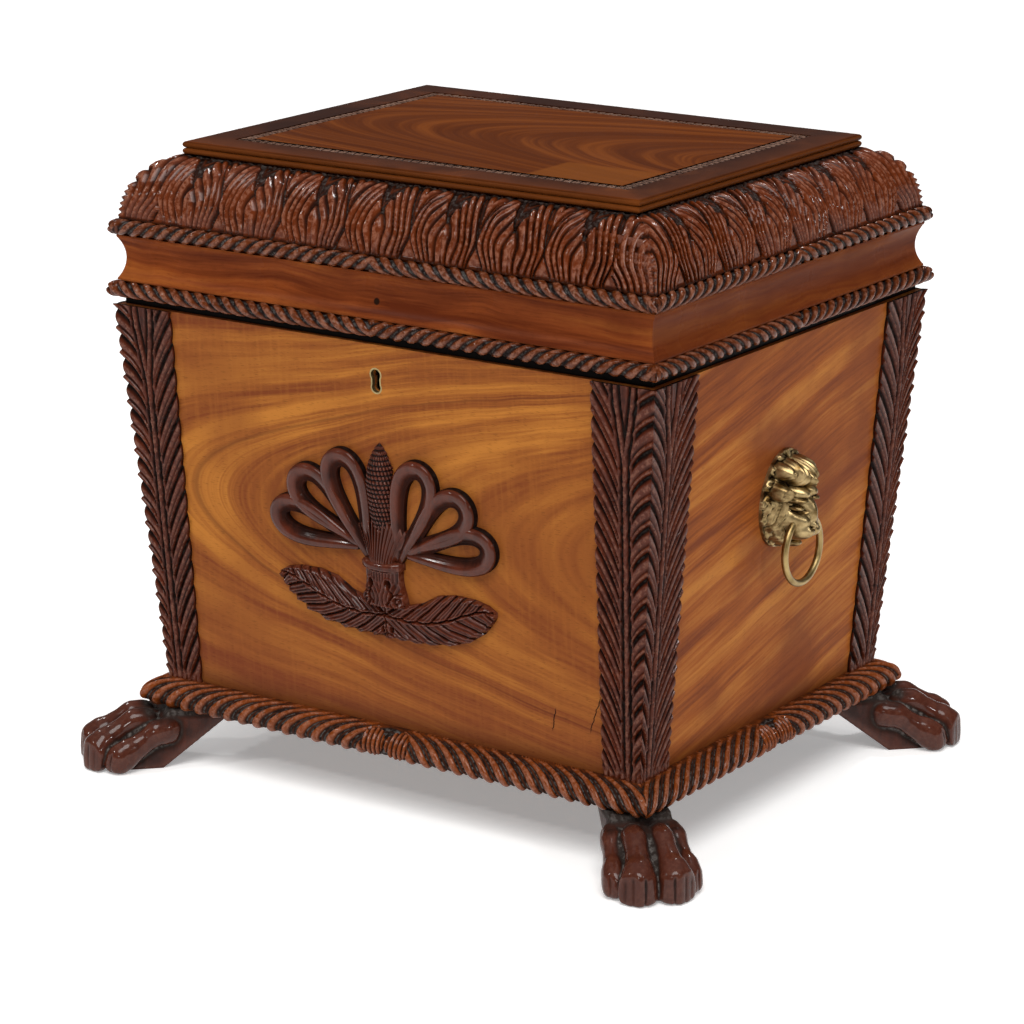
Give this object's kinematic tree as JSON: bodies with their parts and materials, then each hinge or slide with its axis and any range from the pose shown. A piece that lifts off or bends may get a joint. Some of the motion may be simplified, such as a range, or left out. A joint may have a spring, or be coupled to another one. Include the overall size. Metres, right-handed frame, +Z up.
{
  "type": "cellarette",
  "caption": "Sarcophagus-shaped mahogany wine cellarette with a hinged moulded lid, lion-mask ring handles, carved leaf ornament and paw feet.",
  "frame": {"origin": "on the floor, under the middle of the box", "axes": "+X to the right, +Y to the back, +Z up; the lock and the carved ornament face -Y"},
  "size_m": [0.6814, 0.5694, 0.5963],
  "materials": {
    "figured_mahogany": "french polished",
    "carved_mahogany": "waxed, dark in the hollows",
    "plain_inner_wood": "bare",
    "lead_sheet": "dull grey",
    "aged_brass": "aged, worn bright",
    "dark_steel": "dark"
  },
  "bodies": {
    "carcase": {"back_panel": "figured_mahogany", "base_moulding_back": "carved_mahogany", "base_moulding_front": "carved_mahogany", "base_moulding_left": "carved_mahogany", "base_moulding_right": "carved_mahogany", "calyx_cup": "carved_mahogany", "carcase_screws": "dark_steel", "corn_cob": "carved_mahogany", "corner_leaves_back_left": "carved_mahogany", "corner_leaves_back_right": "carved_mahogany", "corner_leaves_front_left": "carved_mahogany", "corner_leaves_front_right": "carved_mahogany", "cross_dividers": "plain_inner_wood", "escutcheon": "aged_brass", "floor_board": "plain_inner_wood", "front_panel": "figured_mahogany", "handle_bolts": "dark_steel", "handle_nuts": "dark_steel", "hinge_lower_left": "aged_brass", "hinge_lower_right": "aged_brass", "hinge_pins": "dark_steel", "lead_liner": "lead_sheet", "leaf_spray": "carved_mahogany", "left_panel": "figured_mahogany", "lion_mask_left": "aged_brass", "lion_mask_right": "aged_brass", "lock_case": "aged_brass", "long_dividers": "plain_inner_wood", "paw_foot_back_left": "carved_mahogany", "paw_foot_back_right": "carved_mahogany", "paw_foot_front_left": "carved_mahogany", "paw_foot_front_right": "carved_mahogany", "ribbon_loops": "carved_mahogany", "right_panel": "figured_mahogany"},
    "lid": {"cavetto_back": "figured_mahogany", "cavetto_front": "figured_mahogany", "cavetto_left": "figured_mahogany", "cavetto_right": "figured_mahogany", "hinge_upper_left": "aged_brass", "hinge_upper_right": "aged_brass", "leaf_cushion_back": "carved_mahogany", "leaf_cushion_front": "carved_mahogany", "leaf_cushion_left": "carved_mahogany", "leaf_cushion_right": "carved_mahogany", "lid_screws": "dark_steel", "lock_striker": "aged_brass", "lower_rope_back": "carved_mahogany", "lower_rope_front": "carved_mahogany", "lower_rope_left": "carved_mahogany", "lower_rope_right": "carved_mahogany", "top_board": "figured_mahogany", "top_carved_band": "carved_mahogany", "top_panel": "figured_mahogany", "upper_rope_back": "carved_mahogany", "upper_rope_front": "carved_mahogany", "upper_rope_left": "carved_mahogany", "upper_rope_right": "carved_mahogany"},
    "lock_bolt": {"lock_bolt": "dark_steel"},
    "ring_left": {"ring_handle_left": "aged_brass"},
    "ring_right": {"ring_handle_right": "aged_brass"}
  },
  "joints": [
    {"name": "lid_hinge", "type": "hinge", "parent": "carcase", "child": "lid", "pos_m": [0, 0.2399, 0.44715], "axis": [-1, 0, 0], "range_deg": [0, 95]},
    {"name": "lock_bolt_slide", "type": "slide", "parent": "carcase", "child": "lock_bolt", "axis": [1, 0, 0], "range_m": [0, 0.008]},
    {"name": "ring_right_swing", "type": "hinge", "parent": "carcase", "child": "ring_right", "pos_m": [0.30334, 0, 0.27679], "axis": [0, -1, 0], "range_deg": [-20, 140]},
    {"name": "ring_left_swing", "type": "hinge", "parent": "carcase", "child": "ring_left", "pos_m": [-0.30334, 0, 0.27679], "axis": [0, 1, 0], "range_deg": [-20, 140]}
  ]
}
